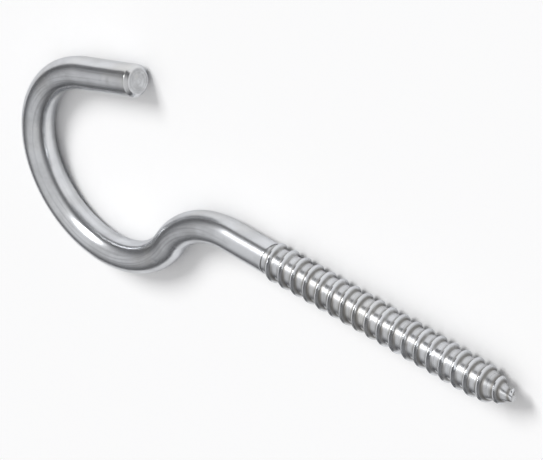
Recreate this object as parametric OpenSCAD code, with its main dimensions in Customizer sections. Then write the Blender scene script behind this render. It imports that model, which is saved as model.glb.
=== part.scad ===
/* [Wire] */
// Diameter of the round wire
wire_d = 6.35; // [6:0.05:8]
// Clear width inside the hook
hook_inside_d = 31.75; // [20:0.25:60]
// Inside radius of the bend that brings the hook back onto the screw's axis
neck_inside_r = 15.875; // [8:0.125:30]
// Length of plain wire between the neck and the thread
shank_length = 10.3; // [6:0.1:40]

/* [Free end] */
// Length of the straight free end, with its chamfer
free_end_length = 15.4; // [6:0.1:30]
// Angle between the free end and the screw's axis, which opens the mouth
free_end_angle = 20; // [0:1:35]
// Chamfer round the cut face of the free end
end_chamfer = 0.64; // [0.1:0.02:1.2]

/* [Screw] */
// Length from the shoulder to the tip
screw_length = 63.5; // [30:0.5:120]
// Distance from one turn of the thread to the next
pitch = 3.23; // [2:0.01:5]
// Outer diameter of the thread
thread_d = 7.48; // [7.2:0.02:9]
// Diameter of the core between the turns
core_d = 5.9; // [5:0.02:5.9]
// Width of the thread at its crest
crest_width = 0.21; // [0.05:0.01:0.5]
// Angle between the two flanks of the thread
flank_angle = 60; // [40:1:70]
// Direction round the axis in which the thread leaves the shoulder
thread_start = 204; // [0:1:359]
// Turn over which the thread rises to its full height at the shoulder
run_in_angle = 100; // [40:5:180]
// Length over which the core tapers to the tip
core_taper_length = 6.35; // [4:0.05:14]
// Diameter of the flat tip
tip_d = 1.27; // [0.6:0.01:2]
// Length over which the crest of the thread tapers
crest_taper_length = 7; // [4:0.1:14]
// Diameter of the crest at the end of its taper
crest_tip_d = 2.7; // [2:0.1:4]
// Length of bare core between the end of the thread and the tip
bare_length = 0.74; // [0.5:0.02:4]
// Turn over which the thread falls away there
run_out_angle = 45; // [15:5:180]

/* [Hidden] */

wire_sides = 48;
bend_sides = 96;
hook_r = (hook_inside_d + wire_d) / 2;
neck_r = neck_inside_r + wire_d / 2;

// The neck swings off the axis by its own radius, which sets where the two bends meet.
// It is kept to a thousandth of a degree.
meeting_angle = round(asin(neck_r / (hook_r + neck_r)) * 1000) / 1000;
neck_turn = 90 - meeting_angle;
hook_turn = 270 - free_end_angle - meeting_angle;
hook_centre = [
    -shank_length - (hook_r + neck_r) * cos(meeting_angle),
    (hook_r + neck_r) * sin(meeting_angle) - neck_r,
    0
];

// What reaches from one stretch of wire into the next is a hair thinner than the wire
relief = 0.01;
overlap = 0.2;

// The thread is one strip wound round the axis. Each step round has four points along the axis:
// the foot of one flank, the two edges of the crest and the foot of the other flank.
steps_per_turn = 24;
thread_height = (thread_d - core_d) / 2;
flank_width = thread_height * tan(flank_angle / 2);
thread_width = 2 * flank_width + crest_width;
profile = [0, flank_width, flank_width + crest_width, thread_width];
points_per_step = len(profile);
// Turns of the strip that lie inside the shank, where the thread has no height yet
buried_turns = 1.25;
// Turns from the shoulder to the end of the thread
thread_turns = (screw_length - bare_length) / pitch;
// Points of the strip that come nearer the tip than this belong to the rim of its flat face
rim_margin = 0.05;
last_step = ceil(((screw_length + thread_width / 2) / pitch + buried_turns) * steps_per_turn);
rim_start = (last_step + 1) * points_per_step;

function limited(x) = min(max(x, 0), 1);

// Turns from the shoulder to a step of the strip
function turns(step) = step / steps_per_turn - buried_turns;

// Distance of a point of the strip from the shoulder, along the axis
function along(step, i) = pitch * turns(step) - thread_width / 2 + profile[i];

// Radius at a distance from the shoulder, of a cone that narrows from one diameter to another
function tapered(x, d, end_d, length) =
    (end_d + (d - end_d) * limited((screw_length - x) / length)) / 2;

function core_radius(x) = tapered(x, core_d, tip_d, core_taper_length);

function crest_radius(x) = tapered(x, thread_d, crest_tip_d, crest_taper_length);

function is_crest(i) = i > 0 && i < points_per_step - 1;

// Share of its full height that the thread has
function rise(step) = limited(turns(step) * 360 / run_in_angle)
    * limited((thread_turns - turns(step)) * 360 / run_out_angle);

function strip_radius(step, i) =
    let (x = along(step, i), core = core_radius(x), crest = max(crest_radius(x), core))
    is_crest(i) ? core + (crest - core) * rise(step) : core;

function spot(x, r, step) =
    let (angle = thread_start + 360 * turns(step))
    [x, r * cos(angle), r * sin(angle)];

function strip_point(step, i) =
    spot(min(along(step, i), screw_length), strip_radius(step, i), step);

// Number of a point. One past the last point of a step is the first point of the next turn.
function number(step, i) =
    i == points_per_step ? number(step + steps_per_turn, 0)
    : along(step, i) > screw_length - rim_margin ? rim_start + step % steps_per_turn
    : step * points_per_step + i;

function is_whole(face) = face[0] != face[1] && face[1] != face[2] && face[2] != face[0];

function patch(step, i) =
    let (a = number(step, i), b = number(step, i + 1),
         c = number(step + 1, i + 1), d = number(step + 1, i))
    [for (face = [[a, b, c], [a, c, d]]) if (is_whole(face)) face];

function fan(centre, rim) = [for (i = [1 : len(rim) - 1]) [centre, rim[i - 1], rim[i]]];

// Moves in a coarse and a fine step, which keeps the last digits of the place
module place(v) {
    coarse = [for (x = v) round(x * 100) / 100];
    translate(coarse) translate(v - coarse) children();
}

// A bend round the origin, which turns to the left from its first direction
module bend(radius, first, angle) {
    rotate_extrude(start = first, angle = angle, $fn = bend_sides)
        translate([radius, 0]) circle(d = wire_d, $fn = wire_sides);
}

// Straight wire from the origin along X, with its cut face chamfered
module free_end() {
    rotate([0, 90, 0]) rotate_extrude($fn = wire_sides)
        polygon([
            [0, 0],
            [wire_d / 2, 0],
            [wire_d / 2, free_end_length - end_chamfer],
            [wire_d / 2 - end_chamfer, free_end_length],
            [0, free_end_length]
        ]);
}

// Short plug inside the wire, which ties the two stretches that meet at an angle of the hook
module plug(angle) {
    rotate([0, 0, angle]) translate([hook_r, 0, 0]) rotate([90, 0, 0])
        cylinder(h = 2 * overlap, r = wire_d / 2 - relief, center = true, $fn = wire_sides);
}

// Free end, hook and neck, drawn round the centre of the hook with the free end along X
module bent_wire() {
    translate([0, hook_r, 0]) free_end();
    plug(90);
    bend(hook_r, 90, hook_turn);
    plug(90 + hook_turn);
    place((hook_r + neck_r) * [cos(90 + hook_turn), sin(90 + hook_turn), 0])
        bend(neck_r, 90 - free_end_angle, neck_turn);
}

// Plain wire between the neck and the thread
module shank() {
    translate([-shank_length - overlap, 0, 0]) rotate([0, 90, 0])
        cylinder(h = shank_length + overlap, r = wire_d / 2 - relief, $fn = wire_sides);
}

// Core, thread and point in one closed surface
module screw() {
    strip = [
        for (step = [0 : last_step], i = [0 : points_per_step - 1]) strip_point(step, i)
    ];
    rim = [for (step = [0 : steps_per_turn - 1]) spot(screw_length, tip_d / 2, step)];
    buried_end = [along(0, 0), 0, 0];
    tip = [screw_length, 0, 0];
    buried_number = rim_start + steps_per_turn;
    tip_number = buried_number + 1;
    buried_rim = concat(
        [for (step = [0 : steps_per_turn]) number(step, 0)],
        [for (i = [points_per_step - 1 : -1 : 0]) number(0, i)]
    );
    tip_rim = [for (k = [steps_per_turn : -1 : 0]) rim_start + k % steps_per_turn];
    surface = [
        for (step = [0 : last_step - 1], i = [0 : points_per_step - 1]) each patch(step, i)
    ];
    polyhedron(
        points = concat(strip, rim, [buried_end, tip]),
        faces = concat(surface, fan(buried_number, buried_rim), fan(tip_number, tip_rim))
    );
}

module screw_hook() {
    color("silver") {
        translate(hook_centre) rotate([0, 0, free_end_angle]) bent_wire();
        shank();
        screw();
    }
}

screw_hook();
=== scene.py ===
"""Looks of a screw hook: one length of steel wire, bent, threaded, pointed and zinc plated.

Everything is in metres, in the part's own frame: +X runs along the screw's axis to its point from
the shoulder where the thread starts, +Y lies in the plane of the hook on the side of its mouth, and
+Z is square to that plane. The hook lies on its side.
"""

import logging
import math
from dataclasses import dataclass, field
from enum import Enum

import bpy
import numpy as np
from mathutils import Matrix, Vector, noise


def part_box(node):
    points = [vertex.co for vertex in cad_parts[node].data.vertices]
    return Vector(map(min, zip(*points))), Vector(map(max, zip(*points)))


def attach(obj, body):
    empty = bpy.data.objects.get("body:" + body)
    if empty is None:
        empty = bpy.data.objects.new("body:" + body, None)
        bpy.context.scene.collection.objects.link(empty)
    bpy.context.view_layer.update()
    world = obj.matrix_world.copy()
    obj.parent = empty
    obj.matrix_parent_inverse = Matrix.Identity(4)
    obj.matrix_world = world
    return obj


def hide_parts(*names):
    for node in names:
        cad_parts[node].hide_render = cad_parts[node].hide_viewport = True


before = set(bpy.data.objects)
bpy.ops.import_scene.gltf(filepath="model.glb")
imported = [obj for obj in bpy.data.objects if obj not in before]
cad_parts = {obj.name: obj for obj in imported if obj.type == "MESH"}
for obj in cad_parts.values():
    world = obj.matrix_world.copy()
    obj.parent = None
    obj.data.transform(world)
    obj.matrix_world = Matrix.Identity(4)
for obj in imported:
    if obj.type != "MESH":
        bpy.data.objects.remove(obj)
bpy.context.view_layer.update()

LOG = logging.getLogger("screw_hook")
NODE = "screw_hook"
BODY = "root"
MM = 0.001
# Vertices round the wire, and round each turn of the thread
SIDES = 90
# The dressed surface lies this far inside the solid, so that it never reaches past its box
SKIN_DEPTH = 0.01 * MM
# Name under which the place in the grain of the metal is kept at each corner of a face
GRAIN = "grain"
# Lengths along the grain count by this share, which draws its streaks out
GRAIN_PULL = 0.02
# Steps along each rounded edge
EDGE_STEPS = 4
# Faces that meet at more than this angle keep a sharp edge between them
SHARP_ANGLE = math.radians(40)
# How strongly the finer layers of each noise show
NOISE_ROUGHNESS = 0.6
# First and last step in which the tilt of the resting floor is searched
FIRST_TILT = math.radians(1)
LAST_TILT = 1e-6

Colour = tuple[float, float, float]
Limits = tuple[float, float]
Outline = list[tuple[float, float]]
Socket = bpy.types.NodeSocket


class Zone(Enum):
    """Kind of surface that a face belongs to. The value is the number of its finish."""

    WIRE = 0
    THREAD = 1
    CUT_FACE = 2


class Layer(Enum):
    """Value painted on the vertices, which the finishes read."""

    RECESS = "recess"
    RUBBED = "rubbed"


def smooth(x: float) -> float:
    """Eases a share from 0 to 1, and holds it there outside that range."""
    t = min(max(x, 0.0), 1.0)
    return t * t * (3.0 - 2.0 * t)


def patchy(place: Vector) -> float:
    """Gives a soft random pattern from 0 to 1, with one spot or so to each unit of length."""
    return smooth(0.5 + noise.noise(place))


def round_corners(outline: Outline, radii: list[float]) -> Outline:
    """Rounds the inner corners of an open outline.

    Args:
        outline: Its corners in order, with any point towards which each end runs.
        radii: Radius at each corner apart from the two ends.

    Returns:
        The points of the rounds, without the two ends.
    """
    points = []
    for before, corner, after, radius in zip(outline, outline[1:], outline[2:], radii):
        middle = Vector(corner)
        back = (Vector(before) - middle).normalized()
        ahead = (Vector(after) - middle).normalized()
        half = back.angle(ahead) / 2
        centre = middle + (back + ahead).normalized() * (radius / math.sin(half))
        first = middle + back * (radius / math.tan(half)) - centre
        last = middle + ahead * (radius / math.tan(half)) - centre
        for i in range(EDGE_STEPS + 1):
            spoke = first.slerp(last, i / EDGE_STEPS)
            points.append(tuple(centre + spoke.normalized() * radius))
    return points


@dataclass
class Ring:
    """A round of vertices, with the place of each in the grain of the metal.

    The grain has one more entry than there are vertices, because the round closes on its first one.
    """

    numbers: list[int]
    grain: list[Vector]


@dataclass
class Skin:
    """One closed surface in the making, with what the finishes need to know about it."""

    points: list[Vector] = field(default_factory=list)
    painted: dict[Layer, list[float]] = field(default_factory=lambda: {x: [] for x in Layer})
    faces: list[tuple[int, ...]] = field(default_factory=list)
    zones: list[Zone] = field(default_factory=list)
    grain: list[Vector] = field(default_factory=list)

    def point(self, place: Vector, recess: float = 0.0, rubbed: float = 0.0) -> int:
        """Adds a vertex.

        Args:
            place: Where it lies.
            recess: How deep it lies in a corner, where it gets painted shade, from 0 to 1.
            rubbed: How bright it is rubbed by handling, from 0 to 1.

        Returns:
            Its number.
        """
        self.points.append(place)
        self.painted[Layer.RECESS].append(recess)
        self.painted[Layer.RUBBED].append(rubbed)
        return len(self.points) - 1

    def face(self, corners: list[tuple[int, Vector]], zone: Zone) -> None:
        """Adds a face, and leaves out a corner that falls on the one before it.

        Args:
            corners: Number of each vertex, and its place in the grain of the metal.
            zone: Kind of surface.
        """
        kept = [corner for i, corner in enumerate(corners) if corner[0] != corners[i - 1][0]]
        if len(kept) > 2:
            self.faces.append(tuple(number for number, _ in kept))
            self.grain.extend(place for _, place in kept)
            self.zones.append(zone)

    def band(self, near: Ring, far: Ring, zone: Zone) -> None:
        """Joins two rings.

        Args:
            near: Ring nearer the point of the screw.
            far: Ring further from it along the wire.
            zone: Kind of surface.
        """
        for k in range(SIDES):
            j = (k + 1) % SIDES
            self.face(
                [
                    (near.numbers[k], near.grain[k]),
                    (far.numbers[k], far.grain[k]),
                    (far.numbers[j], far.grain[k + 1]),
                    (near.numbers[j], near.grain[k + 1]),
                ],
                zone,
            )

    def sleeve(self, rings: list[Ring], zone: Zone) -> None:
        """Joins rings in order, each one nearer the point of the screw than the next."""
        for near, far in zip(rings, rings[1:]):
            self.band(near, far, zone)

    def to_object(self, name: str) -> bpy.types.Object:
        """Makes the mesh and its object.

        Args:
            name: Name of the piece.

        Returns:
            The object, linked into the scene.
        """
        mesh = bpy.data.meshes.new(name)
        mesh.from_pydata([tuple(p) for p in self.points], [], self.faces)
        mesh.polygons.foreach_set("material_index", [zone.value for zone in self.zones])
        mesh.polygons.foreach_set("use_smooth", [True] * len(self.faces))
        for layer, values in self.painted.items():
            attribute = mesh.attributes.new(layer.value, "FLOAT", "POINT")
            attribute.data.foreach_set("value", values)
        grain = mesh.attributes.new(GRAIN, "FLOAT_VECTOR", "CORNER")
        grain.data.foreach_set("vector", np.array(self.grain, np.float32).ravel())
        mesh.set_sharp_from_angle(angle=SHARP_ANGLE)
        piece = bpy.data.objects.new(name, mesh)
        bpy.context.scene.collection.objects.link(piece)
        return piece


@dataclass(frozen=True)
class Station:
    """One place along the wire: the middle of its section and the side from which it is measured.

    Pinned is how firmly the bending pin pressed there, below 0 where it pressed on the side away
    from which the section is measured.
    """

    centre: Vector
    outward: Vector
    distance: float
    pinned: float = 0.0

    def spot(self, angle: float, radius: float) -> Vector:
        """Gives the point at an angle round the section and a distance from its middle."""
        return self.centre + radius * (
            self.outward * math.cos(angle) + Vector((0, 0, math.sin(angle))))


@dataclass(frozen=True)
class Dent:
    """Shallow mark where another hook struck the wire in the plating barrel."""

    distance: float
    angle: float
    radius: float
    depth: float

    def sink(self, distance: float, angle: float, wire_r: float) -> float:
        """Tells how far the surface is pressed in.

        Args:
            distance: Distance along the wire.
            angle: Direction round the wire.
            wire_r: Radius of the wire.

        Returns:
            The depth.
        """
        around = math.remainder(angle - self.angle, math.tau) * wire_r
        share = math.hypot(distance - self.distance, around) / self.radius
        return self.depth * (1.0 - smooth(share))


@dataclass(frozen=True)
class Bend:
    """Stretch of wire bent round a pin, followed on the way from the screw to the free end.

    Its side is 1 where the wire turns against the clock round the pin, and -1 where it turns with
    the clock.
    """

    centre: Vector
    radius: float
    first: float
    turn: float
    side: int
    distance: float

    def stations(self, step: float, fade: float) -> list[Station]:
        """Follows the bend.

        Args:
            step: Angle from one place to the next.
            fade: Angle over which the pin's pressure fades at both ends.

        Returns:
            The places, without the one at which the bend ends.
        """
        count = round(self.turn / step)
        found = []
        for i in range(count):
            turned = self.turn * i / count
            angle = self.first + self.side * turned
            radial = Vector((math.cos(angle), math.sin(angle), 0))
            pressed = smooth(turned / fade) * smooth((self.turn - turned) / fade)
            found.append(Station(
                centre=self.centre + radial * self.radius,
                outward=radial * self.side,
                distance=self.distance + self.radius * turned,
                pinned=-self.side * pressed,
            ))
        return found


@dataclass
class BentWire:
    """Plain wire from the shoulder to the cut face: shank, neck, hook and free end."""

    wire_r: float = 3.175 * MM - SKIN_DEPTH
    hook_r: float = 19.05 * MM
    neck_r: float = 19.05 * MM
    shank_length: float = 10.3 * MM
    free_end_length: float = 15.4 * MM
    free_end_angle: float = math.radians(20)
    end_chamfer: float = 0.64 * MM
    edge_r: float = 0.09 * MM
    bend_step: float = math.radians(1.0)
    straight_step: float = 0.4 * MM
    waviness: float = 0.016 * MM
    wave_length: float = 5.0 * MM
    # Flat that the bending pin leaves on the inside of a bend, and the share of the wire's radius
    # on which it lies
    pin_mark: float = 0.05 * MM
    pin_spread: float = 0.2
    pin_fade: float = math.radians(12)
    # Rings, depth and spots a metre of the uneven cut face
    face_rings: int = 14
    face_dip: float = 0.02 * MM
    face_spots: float = 1100.0
    # How bright each edge is rubbed, from 0 to 1
    shoulder_rubbed: float = 0.8
    chamfer_rubbed: float = 0.6
    face_rubbed: float = 0.1
    # Dents lie from this distance past the shoulder to this distance past the start of the free end
    dent_count: int = 44
    dent_seed: int = 31
    dent_first: float = 1.5 * MM
    dent_last: float = 12 * MM
    dent_radii: Limits = (0.5 * MM, 1.3 * MM)
    dent_depths: Limits = (0.012 * MM, 0.045 * MM)

    def __post_init__(self) -> None:
        """Works out where the two bends meet, and scatters the dents."""
        meeting_angle = math.asin(self.neck_r / (self.hook_r + self.neck_r))
        reach = (self.hook_r + self.neck_r) * math.cos(meeting_angle)
        self.neck = Bend(
            centre=Vector((-self.shank_length, -self.neck_r, 0)),
            radius=self.neck_r,
            first=math.pi / 2,
            turn=math.pi / 2 - meeting_angle,
            side=1,
            distance=self.shank_length,
        )
        self.hook = Bend(
            centre=Vector((-self.shank_length - reach, 0, 0)),
            radius=self.hook_r,
            first=-meeting_angle,
            turn=1.5 * math.pi - self.free_end_angle - meeting_angle,
            side=-1,
            distance=self.shank_length + self.neck_r * self.neck.turn,
        )
        bends = self.neck_r * self.neck.turn + self.hook_r * self.hook.turn
        self.free_end_start = self.shank_length + bends
        draw = np.random.default_rng(self.dent_seed)
        self.dents = [
            Dent(
                distance=draw.uniform(self.dent_first, self.free_end_start + self.dent_last),
                angle=draw.uniform(0.0, math.tau),
                radius=draw.uniform(*self.dent_radii),
                depth=draw.uniform(*self.dent_depths),
            )
            for _ in range(self.dent_count)
        ]

    def shank_station(self, distance: float) -> Station:
        """Gives a place on the shank, or on its axis past the shoulder."""
        return Station(Vector((-distance, 0, 0)), Vector((0, 1, 0)), distance)

    def free_end_station(self, distance: float) -> Station:
        """Gives a place on the free end.

        Args:
            distance: Distance from where the free end starts.

        Returns:
            The place.
        """
        angle = math.pi / 2 + self.free_end_angle
        radial = Vector((math.cos(angle), math.sin(angle), 0))
        along = Vector((math.sin(angle), -math.cos(angle), 0))
        start = self.hook.centre + radial * self.hook_r
        return Station(start + along * distance, -radial, self.free_end_start + distance)

    def stations(self) -> list[Station]:
        """Follows the wire from behind the shoulder's edge to the chamfer of the free end.

        Returns:
            The places in order.
        """
        count = round(self.shank_length / self.straight_step)
        found = [self.shank_station(self.shank_length * i / count) for i in range(1, count)]
        for bend in (self.neck, self.hook):
            found += bend.stations(self.bend_step, self.pin_fade)
        length = self.free_end_length - self.end_chamfer - self.edge_r
        count = round(length / self.straight_step)
        found += [self.free_end_station(length * i / count) for i in range(count + 1)]
        return found

    def worn_by(self, station: Station, angle: float) -> float:
        """Works out how far the surface lies under the true round, in waves, pin marks and dents.

        Args:
            station: Place along the wire.
            angle: Direction round the wire.

        Returns:
            The depth, which is never negative.
        """
        s = station.distance
        r = self.wire_r
        place = Vector((r * math.cos(angle), r * math.sin(angle), s)) / self.wave_length
        wave = self.waviness * patchy(place)
        inner = math.cos(angle) * math.copysign(1.0, station.pinned)
        reached = smooth((inner - (1 - self.pin_spread)) / self.pin_spread)
        pressed = self.pin_mark * abs(station.pinned) * reached
        near = (dent for dent in self.dents if abs(dent.distance - s) < dent.radius)
        struck = max((dent.sink(s, angle, r) for dent in near), default=0.0)
        return wave + pressed + struck

    def drawn_ring(self, skin: Skin, station: Station) -> Ring:
        """Adds a ring of the drawn wire, whose grain runs along it.

        Args:
            skin: Surface in the making.
            station: Place along the wire.

        Returns:
            The ring.
        """
        numbers = []
        grain = []
        for k in range(SIDES + 1):
            angle = math.tau * k / SIDES
            side = Vector((math.cos(angle), math.sin(angle), 0)) * self.wire_r
            grain.append(side + Vector((0, 0, station.distance * GRAIN_PULL)))
        for k in range(SIDES):
            angle = math.tau * k / SIDES
            radius = self.wire_r - self.worn_by(station, angle)
            numbers.append(skin.point(station.spot(angle, radius)))
        return Ring(numbers, grain)

    def turned_ring(
        self, skin: Skin, station: Station, radius: float, rubbed: float, dip: float = 0.0
    ) -> Ring:
        """Adds a ring of a turned face, whose grain runs round it.

        Args:
            skin: Surface in the making.
            station: Place along the wire.
            radius: Radius of the ring.
            rubbed: How bright it is rubbed.
            dip: Depth of the unevenness of the face.

        Returns:
            The ring.
        """
        numbers = []
        inward = station.outward.cross(Vector((0, 0, 1)))
        for k in range(SIDES):
            place = station.spot(math.tau * k / SIDES, radius)
            uneven = dip * patchy(place * self.face_spots)
            numbers.append(skin.point(place + inward * uneven, 0.0, rubbed))
        turn = math.tau * self.wire_r * GRAIN_PULL / SIDES
        grain = [Vector((radius, 0, turn * k)) for k in range(SIDES + 1)]
        return Ring(numbers, grain)

    def add_to(self, skin: Skin, foot: Ring) -> None:
        """Adds the plain wire.

        Args:
            skin: Surface in the making.
            foot: Ring at the foot of the shoulder, where the screw starts.
        """
        r = self.wire_r
        rings = [foot]
        for distance, radius in round_corners([(0, 0), (0, r), (r, r)], [self.edge_r]):
            station = self.shank_station(distance)
            rings.append(self.turned_ring(skin, station, radius, self.shoulder_rubbed))
        rings += [self.drawn_ring(skin, station) for station in self.stations()]
        skin.sleeve(rings, Zone.WIRE)
        self.close(skin, rings[-1])

    def close(self, skin: Skin, last: Ring) -> None:
        """Adds the chamfer and the cut face.

        Args:
            skin: Surface in the making.
            last: Ring at which the drawn wire ends.
        """
        r, c, length = self.wire_r, self.end_chamfer, self.free_end_length
        corners = [(0, r), (length - c, r), (length, r - c), (length, 0)]
        chamfer = round_corners(corners, [self.edge_r, self.edge_r])
        rings = [last]
        for distance, radius in chamfer:
            station = self.free_end_station(distance)
            rings.append(self.turned_ring(skin, station, radius, self.chamfer_rubbed))
        skin.sleeve(rings, Zone.WIRE)
        rim = chamfer[-1][1]
        end = self.free_end_station(length)
        face = [rings[-1]]
        for i in range(1, self.face_rings):
            radius = rim * (1 - i / self.face_rings)
            face.append(self.turned_ring(skin, end, radius, self.face_rubbed, self.face_dip))
        middle = skin.point(end.centre)
        face.append(Ring([middle] * SIDES, [Vector((0, 0, 0))] * (SIDES + 1)))
        skin.sleeve(face, Zone.CUT_FACE)


@dataclass(frozen=True)
class ProfilePoint:
    """One point across a turn of the thread."""

    offset: float
    height: float
    travelled: float
    recess: float
    rubbed: float


@dataclass(frozen=True)
class Nick:
    """Small notch struck into the crest of the thread, measured along it in steps."""

    place: float
    half_width: float
    depth: float

    def sink(self, step: int) -> float:
        """Tells how deep the crest is notched at a step."""
        return self.depth * (1 - smooth(abs(step - self.place) / self.half_width))


@dataclass
class Screw:
    """Core, thread and point, drawn as one strip wound round the axis."""

    crest_r: float
    core_r: float = 2.95 * MM - SKIN_DEPTH
    length: float = 63.5 * MM - SKIN_DEPTH
    pitch: float = 3.23 * MM
    crest_width: float = 0.21 * MM
    flank_angle: float = math.radians(60)
    thread_start: float = math.radians(204)
    run_in_angle: float = math.radians(100)
    core_taper_length: float = 6.35 * MM
    tip_r: float = 0.635 * MM - SKIN_DEPTH
    crest_taper_length: float = 7.0 * MM
    crest_tip_r: float = 1.35 * MM - SKIN_DEPTH
    bare_length: float = 0.74 * MM
    run_out_angle: float = math.radians(45)
    foot_r: float = 0.16 * MM
    crest_edge_r: float = 0.05 * MM
    root_points: int = 5
    # A point of the strip that comes this near to the ring at either end falls on it
    snap: float = 0.02 * MM
    # Rings of the flat tip in shares of its radius, and its unevenness: depth, spots a metre, and
    # the share of the radius over which it sets in
    tip_edge_r: float = 0.1 * MM
    tip_rings: tuple[float, ...] = (0.8, 0.6, 0.4, 0.2)
    tip_dip: float = 0.05 * MM
    tip_spots: float = 2300.0
    tip_dip_edge: float = 0.2
    # Painted shade reaches this far from the feet of the thread, and lies on the root with this
    # share
    recess_reach: float = 0.4 * MM
    root_recess: float = 0.25
    # Share of the thread's height, below the crest, that is rubbed bright
    rubbed_height: float = 0.25
    # Wear of the crest: depth, patches a turn, and where in the noise it is read
    crest_wear: float = 0.03 * MM
    wear_patches: float = 4.0
    wear_place: float = 7.0
    core_waves: float = 0.01 * MM
    core_wave_length: float = 3 * MM
    # Nicks of the crest: turns without any at the shoulder and at the tip, steps from the middle
    # of each to its end, and shares of the full depth
    nick_count: int = 26
    nick_seed: int = 7
    nick_free_turns: Limits = (0.5, 3.0)
    nick_half_widths: Limits = (1.2, 3.2)
    nick_shares: Limits = (0.3, 1.0)
    nick_depth: float = 0.11 * MM

    def __post_init__(self) -> None:
        """Works out the profile across a turn, and scatters the nicks of the crest."""
        self.thread_height = self.crest_r - self.core_r
        flank = self.thread_height * math.tan(self.flank_angle / 2)
        self.thread_width = 2 * flank + self.crest_width
        self.first_step = round(self.thread_start / math.tau * SIDES)
        before = self.length - MM
        side = (before, self.core_radius(before))
        corners = [side, (self.length, self.tip_r), (self.length, 0.0)]
        self.tip_edge = round_corners(corners, [self.tip_edge_r])
        self.cap_start = self.tip_edge[0][0]
        self.profile = self.make_profile(flank)
        reach = self.cap_start + self.thread_width / 2 - self.profile[0].offset
        self.last = math.ceil(reach / self.pitch * SIDES)
        self.numbers: dict[tuple[int, int], int] = {}
        draw = np.random.default_rng(self.nick_seed)
        first = self.nick_free_turns[0]
        last = self.length / self.pitch - self.nick_free_turns[1]
        self.nicks = [
            Nick(
                place=draw.uniform(first, last) * SIDES,
                half_width=draw.uniform(*self.nick_half_widths),
                depth=draw.uniform(*self.nick_shares) * self.nick_depth,
            )
            for _ in range(self.nick_count)
        ]

    def make_profile(self, flank: float) -> list[ProfilePoint]:
        """Lists the points across one turn, from the foot of a flank to the same foot a pitch on.

        Args:
            flank: Width of a flank along the axis.

        Returns:
            The points, with heights from 0 at the core to 1 at the crest.
        """
        tall, width = self.thread_height, self.thread_width
        corners = [
            (-self.foot_r, 0.0),
            (0.0, 0.0),
            (flank, tall),
            (flank + self.crest_width, tall),
            (width, 0.0),
            (width + self.foot_r, 0.0),
        ]
        radii = [self.foot_r, self.crest_edge_r, self.crest_edge_r, self.foot_r]
        rounded = round_corners(corners, radii)
        start, end = rounded[0][0], rounded[-1][0]
        rest = self.pitch - (end - start)
        count = self.root_points
        rounded += [(end + rest * i / count, 0.0) for i in range(1, count + 1)]
        points = []
        travelled = 0.0
        before = rounded[0]
        for offset, height in rounded:
            travelled += math.hypot(offset - before[0], height - before[1])
            before = (offset, height)
            away = min(abs(offset), abs(offset - width), abs(offset - self.pitch))
            # Share of painted shade, strongest near the feet of the flanks and gone at the crest
            corner = math.exp(-((away / self.recess_reach) ** 2))
            share = height / tall
            points.append(ProfilePoint(
                offset=offset,
                height=share,
                travelled=travelled,
                recess=(1 - share) * (self.root_recess + (1 - self.root_recess) * corner),
                rubbed=smooth((share - (1 - self.rubbed_height)) / self.rubbed_height),
            ))
        return points

    def core_radius(self, x: float) -> float:
        """Gives the radius of the core at a distance from the shoulder."""
        taper = min((self.length - x) / self.core_taper_length, 1.0)
        return self.tip_r + (self.core_r - self.tip_r) * taper

    def crest_radius(self, x: float) -> float:
        """Gives the radius of a full thread's crest at a distance from the shoulder."""
        taper = min((self.length - x) / self.crest_taper_length, 1.0)
        return self.crest_tip_r + (self.crest_r - self.crest_tip_r) * taper

    def rise(self, step: int) -> float:
        """Gives the share of its full height that the thread has.

        Args:
            step: Step round the axis, from where the thread starts.

        Returns:
            The share, which falls to 0 at both ends of the thread.
        """
        turned = math.tau * step / SIDES
        left = math.tau * (self.length - self.bare_length) / self.pitch - turned
        return smooth(turned / self.run_in_angle) * smooth(left / self.run_out_angle)

    def axial(self, step: int, i: int) -> float:
        """Gives the distance of a point of the strip from the shoulder."""
        return self.pitch * step / SIDES - self.thread_width / 2 + self.profile[i].offset

    def angle(self, step: int) -> float:
        """Gives the direction round the axis of a step of the strip."""
        return math.tau * (self.first_step + step) / SIDES

    @staticmethod
    def round_place(x: float, radius: float, angle: float) -> Vector:
        """Gives the point at a distance along the axis, a radius and an angle."""
        return Vector((x, radius * math.cos(angle), radius * math.sin(angle)))

    def radius(self, step: int, i: int) -> float:
        """Works out the radius of a point of the strip, with its wear.

        Args:
            step: Step round the axis, from where the thread starts.
            i: Number of the point across the turn.

        Returns:
            The radius.
        """
        x = self.axial(step, i)
        core, crest = self.core_radius(x), self.crest_radius(x)
        patch = Vector((step / SIDES * self.wear_patches, 0.0, self.wear_place))
        worn = self.crest_wear * patchy(patch)
        for nick in self.nicks:
            worn += nick.sink(step)
        worn *= min((crest - core) / self.thread_height, 1)
        height = max((crest - core) * self.rise(step) - worn, 0)
        angle = self.angle(step)
        spot = Vector((x / self.core_wave_length, math.cos(angle), math.sin(angle)))
        wave = self.core_waves * patchy(spot) * min(core / self.core_r, 1)
        return core - wave + height * self.profile[i].height

    def end_ring(self, skin: Skin, x: float) -> Ring:
        """Adds the ring at which the strip starts or ends.

        Args:
            skin: Surface in the making.
            x: Distance of the ring from the shoulder, 0 for the foot of the shoulder.

        Returns:
            The ring.
        """
        radius = self.core_radius(x)
        numbers = []
        for k in range(SIDES):
            place = self.round_place(x, radius, math.tau * k / SIDES)
            # The ring at the foot of the shoulder lies in its corner and gets the full painted
            # shade
            numbers.append(skin.point(place, recess=1.0 if x == 0 else 0.0))
        turn = math.tau * self.core_r * GRAIN_PULL / SIDES
        return Ring(numbers, [Vector((radius, 0, turn * k)) for k in range(SIDES + 1)])

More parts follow.
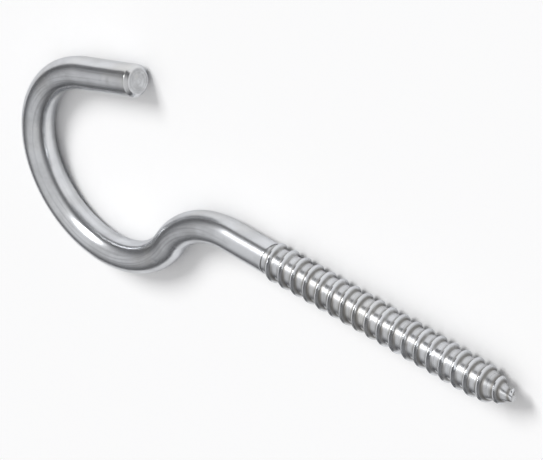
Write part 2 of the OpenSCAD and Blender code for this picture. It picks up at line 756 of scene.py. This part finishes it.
    def number(self, skin: Skin, step: int, i: int, ends: tuple[Ring, Ring]) -> int:
        """Finds the vertex of a point of the strip, and adds it where it is new.

        Args:
            skin: Surface in the making.
            step: Step round the axis.
            i: Number of the point across the turn.
            ends: Rings at which the strip starts and ends.

        Returns:
            Number of the vertex.
        """
        x = self.axial(step, i)
        k = (self.first_step + step) % SIDES
        if x < self.snap:
            return ends[0].numbers[k]
        if x > self.cap_start - self.snap:
            return ends[1].numbers[k]
        if i == len(self.profile) - 1:
            return self.number(skin, step + SIDES, 0, ends)
        if (step, i) not in self.numbers:
            place = self.round_place(x, self.radius(step, i), self.angle(step))
            profile = self.profile[i]
            self.numbers[step, i] = skin.point(place, profile.recess, profile.rubbed)
        return self.numbers[step, i]

    def add_to(self, skin: Skin) -> Ring:
        """Adds the screw.

        Args:
            skin: Surface in the making.

        Returns:
            The ring at the foot of the shoulder.
        """
        ends = (self.end_ring(skin, 0.0), self.end_ring(skin, self.cap_start))
        turn = math.tau * self.crest_r * GRAIN_PULL / SIDES
        # The strip starts a turn before the thread, to cover the core from the shoulder on
        for step in range(-SIDES, self.last):
            for i in range(len(self.profile) - 1):
                corners = []
                for n, j in ((step, i), (step + 1, i), (step + 1, i + 1), (step, i + 1)):
                    place = Vector((self.profile[j].travelled, 0, turn * n))
                    corners.append((self.number(skin, n, j, ends), place))
                skin.face(corners, Zone.THREAD)
        self.close(skin, ends[1])
        return ends[0]

    def close(self, skin: Skin, rim: Ring) -> None:
        """Adds the rounded edge and the flat face of the tip.

        Args:
            skin: Surface in the making.
            rim: Ring at which the strip ends.
        """
        edge_r = self.tip_edge[-1][1]
        flat = [(self.length, edge_r * share) for share in self.tip_rings]
        rings = [rim]
        for x, radius in self.tip_edge[1:] + flat:
            numbers = []
            for k in range(SIDES):
                place = self.round_place(x, radius, math.tau * k / SIDES)
                inside = smooth((1 - radius / edge_r) / self.tip_dip_edge)
                dip = self.tip_dip * inside * patchy(place * self.tip_spots)
                numbers.append(skin.point(place - Vector((dip, 0, 0))))
            rings.append(Ring(numbers, rim.grain))
        tip = skin.point(Vector((self.length, 0, 0)))
        rings.append(Ring([tip] * SIDES, rim.grain))
        for far, near in zip(rings, rings[1:]):
            skin.band(near, far, Zone.CUT_FACE)


class Graph:
    """A material's or world's nodes, wired by short calls."""

    def __init__(self, tree: bpy.types.NodeTree) -> None:
        """Takes a node tree and empties it.

        Args:
            tree: The tree.
        """
        self.tree = tree
        tree.nodes.clear()

    def add(self, kind: str, **settings: object) -> bpy.types.Node:
        """Adds a node and sets its own settings.

        Args:
            kind: The node's type.
            **settings: Values of its properties.

        Returns:
            The node.
        """
        node = self.tree.nodes.new(kind)
        for name, value in settings.items():
            setattr(node, name, value)
        return node

    def plug(self, socket: Socket, value: object) -> None:
        """Feeds one input.

        Args:
            socket: The input.
            value: Its value, or the output of the node that gives it.
        """
        if isinstance(value, Socket):
            self.tree.links.new(value, socket)
        else:
            socket.default_value = value

    def feed(self, node: bpy.types.Node, **inputs: object) -> bpy.types.Node:
        """Feeds a node's inputs, each with a value or from another node's output.

        Args:
            node: The node.
            **inputs: Input's name, in small letters with underscores, and what feeds it.

        Returns:
            The node.
        """
        for name, value in inputs.items():
            wanted = name.replace("_", " ").lower()
            socket = next(s for s in node.inputs if s.name.lower() == wanted and s.enabled)
            self.plug(socket, value)
        return node

    def math(self, operation: str, a: object, b: object = 0.0, c: object = 0.0) -> Socket:
        """Adds a sum or other operation on up to three numbers.

        Args:
            operation: Its name.
            a: First number or the output that gives it.
            b: Second one.
            c: Third one.

        Returns:
            The result.
        """
        node = self.add("ShaderNodeMath", operation=operation)
        for socket, value in zip(node.inputs, (a, b, c)):
            self.plug(socket, value)
        return node.outputs[0]

    def span(self, value: Socket, low: float, high: float) -> Socket:
        """Eases a number from 0 to 1 between two limits.

        Args:
            value: The number.
            low: Limit at which the result is 0.
            high: Limit at which it is 1.

        Returns:
            The result.
        """
        node = self.add("ShaderNodeMapRange", interpolation_type="SMOOTHSTEP")
        self.feed(node, value=value, from_min=low, from_max=high)
        return node.outputs["Result"]

    def noise(self, place: Socket, size: float, detail: float) -> Socket:
        """Adds a noise.

        Args:
            place: Coordinates in metres.
            size: Size of its largest spots in metres.
            detail: Number of finer layers.

        Returns:
            The noise, from 0 to 1.
        """
        node = self.add("ShaderNodeTexNoise")
        self.feed(node, vector=place, scale=1.0 / size, detail=detail, roughness=NOISE_ROUGHNESS)
        return node.outputs[0]

    def mix(self, share: object, first: object, second: object) -> Socket:
        """Mixes two colours.

        Args:
            share: Share of the second one.
            first: Colour at share 0.
            second: Colour at share 1.

        Returns:
            The colour.
        """
        node = self.add("ShaderNodeMix", data_type="RGBA")
        # The node has inputs and outputs for each type. These are its share and those for colours.
        for index, value in ((0, share), (6, first), (7, second)):
            self.plug(node.inputs[index], (*value, 1.0) if isinstance(value, tuple) else value)
        return node.outputs[2]

    def lay(self, pattern: Socket, strength: float, colour: Socket, over: Colour) -> Socket:
        """Lays one colour over another where a pattern shows.

        Args:
            pattern: The pattern, from 0 to 1.
            strength: Share of the upper colour where the pattern is 1.
            colour: Lower colour.
            over: Upper colour.

        Returns:
            The colour.
        """
        return self.mix(self.math("MULTIPLY", pattern, strength), colour, over)


@dataclass(frozen=True)
class ZincPlate:
    """Bright zinc plating over the metal's own grain."""

    name: str
    bright: Colour = (0.74, 0.755, 0.78)
    dull: Colour = (0.60, 0.61, 0.625)
    warm: Colour = (0.74, 0.72, 0.67)
    # Colour of the painted shade in the recesses
    recess_shade_colour: Colour = (0.20, 0.19, 0.175)
    edge: Colour = (0.72, 0.72, 0.73)
    lined: Colour = (0.34, 0.345, 0.355)
    # Patterns: size of the largest spots, number of finer layers, and depth where they stand out
    blotch_size: float = 7 * MM
    blotch_detail: float = 4.0
    tint_size_factor: float = 2.3
    tint_detail: float = 2.0
    streak_size: float = 0.55 * MM
    streak_detail: float = 6.0
    streak_depth: float = 0.008 * MM
    peel_size: float = 0.35 * MM
    peel_detail: float = 3.0
    peel_depth: float = 0.0018 * MM
    # Values of a pattern between which its colour sets in, and the full share of that colour
    dull_limits: Limits = (0.35, 0.7)
    warm_limits: Limits = (0.5, 0.75)
    warm_share: float = 0.5
    streak_limits: Limits = (0.5, 0.34)
    streak_shade: float = 0.3
    # Painted shade in the recesses: where the recess value and the blotches let it in, and its full
    # share
    recess_limits: Limits = (0.1, 0.85)
    recess_shade_limits: Limits = (0.15, 0.55)
    recess_shade_share: float = 0.85
    rubbed_share: float = 0.6
    # Roughness of the plain surface, and what each pattern adds to it
    roughness: float = 0.23
    blotch_roughness: float = 0.16
    streak_roughness: float = 0.12
    recess_roughness: float = 0.25
    rubbed_roughness: float = -0.06

    def material(self) -> bpy.types.Material:
        """Builds the material.

        Returns:
            The material.
        """
        made = bpy.data.materials.new(self.name)
        made.use_nodes = True
        graph = Graph(made.node_tree)
        place = graph.add("ShaderNodeTexCoord").outputs["Object"]
        grain = graph.add("ShaderNodeAttribute", attribute_name=GRAIN).outputs["Vector"]
        recess = graph.add("ShaderNodeAttribute", attribute_name=Layer.RECESS.value).outputs["Fac"]
        rubbed = graph.add("ShaderNodeAttribute", attribute_name=Layer.RUBBED.value).outputs["Fac"]
        blotch = graph.noise(place, self.blotch_size, self.blotch_detail)
        tint = graph.noise(place, self.blotch_size * self.tint_size_factor, self.tint_detail)
        streak = graph.noise(grain, self.streak_size, self.streak_detail)
        peel = graph.noise(place, self.peel_size, self.peel_detail)
        # Painted shade in the recesses, in patches after the blotches; it also roughens the surface
        # there
        recessed = graph.span(recess, *self.recess_limits)
        recess_shade = graph.math("MULTIPLY", recessed, graph.span(blotch, *self.recess_shade_limits))
        colour = graph.mix(graph.span(blotch, *self.dull_limits), self.bright, self.dull)
        warmth = graph.span(tint, *self.warm_limits)
        colour = graph.lay(warmth, self.warm_share, colour, self.warm)
        lines = graph.span(streak, *self.streak_limits)
        colour = graph.lay(lines, self.streak_shade, colour, self.lined)
        # Lays the painted shade over the recesses
        colour = graph.lay(recess_shade, self.recess_shade_share, colour, self.recess_shade_colour)
        colour = graph.lay(rubbed, self.rubbed_share, colour, self.bright)
        # Blotches and streaks smooth the surface in places as much as they roughen it in others
        plain = self.roughness - self.blotch_roughness / 2
        rough = graph.math("MULTIPLY_ADD", blotch, self.blotch_roughness, plain)
        rough = graph.math("SUBTRACT", rough, self.streak_roughness / 2)
        rough = graph.math("MULTIPLY_ADD", streak, self.streak_roughness, rough)
        rough = graph.math("MULTIPLY_ADD", recess_shade, self.recess_roughness, rough)
        rough = graph.math("MULTIPLY_ADD", rubbed, self.rubbed_roughness, rough)
        height = graph.math("MULTIPLY", streak, self.streak_depth)
        height = graph.math("MULTIPLY_ADD", peel, self.peel_depth, height)
        bump = graph.feed(graph.add("ShaderNodeBump"), strength=1.0, distance=1.0, height=height)
        shader = graph.feed(
            graph.add("ShaderNodeBsdfPrincipled"),
            base_color=colour,
            metallic=1.0,
            roughness=rough,
            specular_tint=(*self.edge, 1.0),
            normal=bump.outputs["Normal"],
        )
        output = graph.add("ShaderNodeOutputMaterial")
        graph.feed(output, surface=shader.outputs[0])
        return made


class ScrewHook:
    """The whole part: plain wire and screw in one closed surface."""

    def __init__(self) -> None:
        """Takes the reach of the thread's crest from the solid's box."""
        _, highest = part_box(NODE)
        self.wire = BentWire()
        self.screw = Screw(crest_r=highest.z)
        self.finishes = {
            Zone.WIRE: ZincPlate("zinc_on_drawn_wire"),
            Zone.THREAD: ZincPlate("zinc_on_thread", streak_size=0.5 * MM, streak_depth=0.006 * MM),
            Zone.CUT_FACE: ZincPlate(
                "zinc_on_cut_face",
                bright=(0.62, 0.63, 0.645),
                dull=(0.44, 0.445, 0.455),
                roughness=0.34,
                blotch_size=1.6 * MM,
                streak_size=0.28 * MM,
                streak_shade=0.75,
            ),
        }

    def build(self) -> bpy.types.Object:
        """Builds the surface.

        Returns:
            The piece.
        """
        skin = Skin()
        foot = self.screw.add_to(skin)
        self.wire.add_to(skin, foot)
        piece = skin.to_object("plated_screw_hook")
        LOG.info("%s: %d vertices, %d faces", piece.name, len(skin.points), len(skin.faces))
        return piece

    def dress(self, piece: bpy.types.Object) -> None:
        """Gives the piece its finishes, and puts it in the place of the solid.

        Args:
            piece: The piece.
        """
        for zone in Zone:
            piece.data.materials.append(self.finishes[zone].material())
        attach(piece, BODY)
        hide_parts(NODE)


def centre_of_mass(mesh: bpy.types.Mesh) -> np.ndarray:
    """Works out the centre of mass of a closed mesh, filled with one metal.

    Args:
        mesh: The mesh.

    Returns:
        The centre.
    """
    mesh.calc_loop_triangles()
    corners = np.array([t.vertices for t in mesh.loop_triangles])
    points = np.array([v.co for v in mesh.vertices])
    a, b, c = (points[corners[:, i]] for i in range(3))
    volumes = np.einsum("ij,ij->i", a, np.cross(b, c))
    return ((a + b + c) * volumes[:, None]).sum(0) / 4 / volumes.sum()


def resting_floor(mesh: bpy.types.Mesh) -> tuple[Vector, float]:
    """Finds the floor on which a part comes to rest from lying flat.

    That is the floor over which its centre of mass is lowest.

    Args:
        mesh: The part's closed mesh.

    Returns:
        The floor's upward direction, and how far along that direction it lies.
    """
    centre = centre_of_mass(mesh)
    points = np.array([v.co for v in mesh.vertices])

    def upward(tilt: np.ndarray) -> np.ndarray:
        """Gives the floor's direction for a tilt."""
        direction = np.array([tilt[0], tilt[1], 1.0])
        return direction / np.linalg.norm(direction)

    def height(tilt: np.ndarray) -> float:
        """Gives the height of the centre of mass over the floor for a tilt."""
        direction = upward(tilt)
        return float(centre @ direction - (points @ direction).min())

    tilt = np.zeros(2)
    step = FIRST_TILT
    ways = [
        np.array(way)
        for way in ((1, 0), (-1, 0), (0, 1), (0, -1), (1, 1), (-1, -1), (1, -1), (-1, 1))
    ]
    while step > LAST_TILT:
        best = min((tilt + step * way for way in ways), key=height)
        if height(best) < height(tilt):
            tilt = best
        else:
            step /= 2
    direction = upward(tilt)
    return Vector(direction), float((points @ direction).min())


@dataclass(frozen=True)
class Lamp:
    """A far soft lamp, which lights the whole floor alike."""

    name: str
    towards: tuple[float, float, float]
    level: float
    width: float

    def build(self) -> None:
        """Adds the lamp. Its level is how bright it makes white paper that lies flat."""
        direction = Vector(self.towards).normalized()
        data = bpy.data.lights.new(self.name, "SUN")
        data.energy = self.level * math.pi / direction.z
        data.angle = math.radians(self.width)
        lamp = bpy.data.objects.new(self.name, data)
        lamp.rotation_euler = direction.to_track_quat("Z", "Y").to_euler()
        bpy.context.scene.collection.objects.link(lamp)


@dataclass(frozen=True)
class Studio:
    """Plain floor, soft light and the camera at the drawing's isometric angle."""

    floor_size: float = 8.0
    floor_white: float = 0.985
    lens: float = 1200.0
    sensor: float = 36.0
    frame_width: float = 101.53 * MM
    target: tuple[float, float, float] = (0.07 * MM, 6.64 * MM, 0.0)
    # Nearest and furthest that the camera sees, in shares of its distance
    clip_shares: Limits = (0.05, 4.0)
    # Colours of the room, and the heights between which each gives way to the next
    horizon: Colour = (0.97, 0.97, 0.97)
    walls: Colour = (0.13, 0.13, 0.135)
    ceiling: Colour = (0.725, 0.725, 0.73)
    wall_limits: Limits = (0.05, 0.09)
    ceiling_limits: Limits = (0.25, 0.8)
    lamp: Lamp = Lamp("key_lamp", (-0.35, 0.75, 0.8), 0.42, 26.0)

    def build_floor(self, mesh: bpy.types.Mesh) -> None:
        """Lays the floor under the part as it would come to rest.

        Args:
            mesh: The part's mesh.
        """
        direction, level = resting_floor(mesh)
        LOG.info("floor: tilt %.2f degrees", math.degrees(direction.angle(Vector((0, 0, 1)))))
        half = self.floor_size / 2
        plane = bpy.data.meshes.new("floor")
        corners = [(-half, -half, 0), (half, -half, 0), (half, half, 0), (-half, half, 0)]
        plane.from_pydata(corners, [], [(0, 1, 2, 3)])
        floor = bpy.data.objects.new("floor", plane)
        turn = direction.to_track_quat("Z", "Y").to_matrix().to_4x4()
        floor.matrix_world = Matrix.Translation(direction * level) @ turn
        bpy.context.scene.collection.objects.link(floor)
        made = bpy.data.materials.new("floor_paint")
        made.use_nodes = True
        graph = Graph(made.node_tree)
        white = (self.floor_white,) * 3 + (1.0,)
        shader = graph.feed(graph.add("ShaderNodeBsdfDiffuse"), color=white)
        graph.feed(graph.add("ShaderNodeOutputMaterial"), surface=shader.outputs[0])
        plane.materials.append(made)

    def build_light(self) -> None:
        """Lights the room: white at the horizon, dark walls, a wide soft ceiling and the lamp."""
        world = bpy.data.worlds.new("studio")
        bpy.context.scene.world = world
        world.use_nodes = True
        graph = Graph(world.node_tree)
        place = graph.add("ShaderNodeTexCoord").outputs["Generated"]
        split = graph.feed(graph.add("ShaderNodeSeparateXYZ"), vector=place)
        height = split.outputs["Z"]
        colour = graph.mix(graph.span(height, *self.wall_limits), self.horizon, self.walls)
        colour = graph.mix(graph.span(height, *self.ceiling_limits), colour, self.ceiling)
        shader = graph.feed(graph.add("ShaderNodeBackground"), color=colour, strength=1.0)
        graph.feed(graph.add("ShaderNodeOutputWorld"), surface=shader.outputs[0])
        self.lamp.build()

    def build_camera(self) -> None:
        """Sets the camera on the isometric line of sight, with the part's +Y upright."""
        back = Vector((1, 1, 1)).normalized()
        up = (Vector((0, 1, 0)) - back * back.y).normalized()
        right = up.cross(back)
        distance = self.lens / self.sensor * self.frame_width
        data = bpy.data.cameras.new("camera")
        data.lens = self.lens
        data.sensor_width = self.sensor
        data.clip_start, data.clip_end = (distance * share for share in self.clip_shares)
        camera = bpy.data.objects.new("camera", data)
        turn = Matrix((right, up, back)).transposed().to_4x4()
        camera.matrix_world = Matrix.Translation(Vector(self.target) + back * distance) @ turn
        bpy.context.scene.collection.objects.link(camera)
        bpy.context.scene.camera = camera

    def build(self, piece: bpy.types.Object) -> None:
        """Builds the studio round a piece.

        Args:
            piece: The piece.
        """
        self.build_floor(piece.data)
        self.build_light()
        self.build_camera()
        bpy.context.scene.view_settings.view_transform = "Standard"


def main() -> None:
    """Builds the screw hook, dresses it and sets the studio round it."""
    logging.basicConfig(level=logging.INFO, format="%(name)s: %(message)s")
    hook = ScrewHook()
    piece = hook.build()
    hook.dress(piece)
    Studio().build(piece)


if __name__ == "__main__":
    main()
